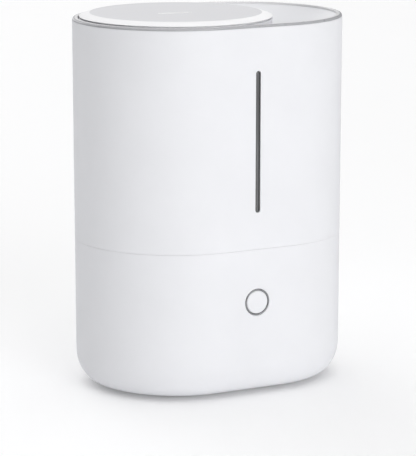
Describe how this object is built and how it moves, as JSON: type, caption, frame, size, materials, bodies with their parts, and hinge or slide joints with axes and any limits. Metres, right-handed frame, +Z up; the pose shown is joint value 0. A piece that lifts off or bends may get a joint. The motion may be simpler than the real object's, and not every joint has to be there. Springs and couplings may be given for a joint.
{
  "type": "cool mist humidifier",
  "caption": "Oblong cool-mist humidifier: base with fan, float and power button, lift-off water tank with a level window, fill dish and turning round mist nozzle.",
  "frame": {"origin": "on the table under the middle of the body", "axes": "+Z up, -Y out of the front with the window and button, +X to the right seen from the front"},
  "size_m": [0.23, 0.17, 0.31],
  "materials": {
    "body_white": "satin to gloss moulded shell",
    "inner_white": "moulded, as ejected",
    "rim_silver": "silver-coloured, satin",
    "ring_grey": "plated, slightly dark",
    "smoked_lens": "polished",
    "clear_tube": "translucent",
    "foot_rubber": "matt",
    "silicone": "soft satin",
    "dark_plastic": "fine grained",
    "board_green": "solder-masked board",
    "steel": "plated",
    "aluminium": "extruded",
    "brass": "satin",
    "lead_red": "insulation",
    "lead_dark": "insulation"
  },
  "bodies": {
    "base": {"base_shell": "body_white", "bottom_cover": "inner_white", "foot_1": "foot_rubber", "foot_2": "foot_rubber", "foot_3": "foot_rubber", "foot_4": "foot_rubber", "cover_screw_1": "steel", "cover_screw_2": "steel", "cover_screw_3": "steel", "cover_screw_4": "steel", "base_deck": "inner_white", "mist_ring": "inner_white", "air_tower": "inner_white", "transducer_seal": "silicone", "transducer_disc": "brass", "transducer_retainer": "aluminium", "fan_housing": "dark_plastic", "fan_motor": "steel", "air_duct": "dark_plastic", "main_board": "board_green", "heat_sink": "aluminium", "capacitor": "dark_plastic", "drive_coil": "brass", "transducer_lead": "lead_red", "fan_lead": "lead_dark", "button_lead": "lead_dark", "inlet_lead": "lead_dark", "button_ring": "ring_grey", "button_switch": "dark_plastic", "button_board": "board_green", "power_inlet": "dark_plastic", "float_cap": "smoked_lens"},
    "fan_rotor": {"fan_impeller": "dark_plastic"},
    "button": {"button_cap": "body_white"},
    "float": {"level_float": "inner_white"},
    "tank": {"tank_shell": "body_white", "window_lens": "smoked_lens", "tank_floor": "inner_white", "mist_chimney": "clear_tube", "valve_cap": "inner_white", "valve_spring": "steel"},
    "valve": {"valve_stem": "inner_white", "valve_seal": "silicone"},
    "lid": {"top_cover": "body_white", "rim_ring": "rim_silver", "lid_gasket": "silicone", "chimney_seal": "silicone"},
    "nozzle_carrier": {"nozzle_seat": "inner_white"},
    "nozzle": {"nozzle_cap": "body_white"}
  },
  "joints": [
    {"name": "tank_lift", "type": "slide", "parent": "base", "child": "tank", "axis": [0, 0, 1], "range_m": [0, 0.2]},
    {"name": "valve_close", "type": "slide", "parent": "tank", "child": "valve", "axis": [0, 0, 1], "range_m": [-0.004, 0], "deforming": ["valve_spring"]},
    {"name": "lid_lift", "type": "slide", "parent": "tank", "child": "lid", "axis": [0, 0, 1], "range_m": [0, 0.15]},
    {"name": "nozzle_lift", "type": "slide", "parent": "lid", "child": "nozzle_carrier", "axis": [0, 0, 1], "range_m": [0, 0.1]},
    {"name": "nozzle_turn", "type": "hinge", "parent": "nozzle_carrier", "child": "nozzle", "pos_m": [-0.03, 0, 0.3], "axis": [0, 0, 1], "continuous": true},
    {"name": "float_rise", "type": "slide", "parent": "base", "child": "float", "axis": [0, 0, 1], "range_m": [0, 0.0115]},
    {"name": "button_press", "type": "slide", "parent": "base", "child": "button", "axis": [0, 1, 0], "range_m": [0, 0.0008], "stiffness_N_per_m": 900},
    {"name": "fan_spin", "type": "hinge", "parent": "base", "child": "fan_rotor", "pos_m": [0.042, -0.015, 0.02], "axis": [0, 0, 1], "continuous": true}
  ],
  "couplings": [
    {"joint": "valve_close", "follows": "tank_lift", "ratio": -0.02}
  ]
}
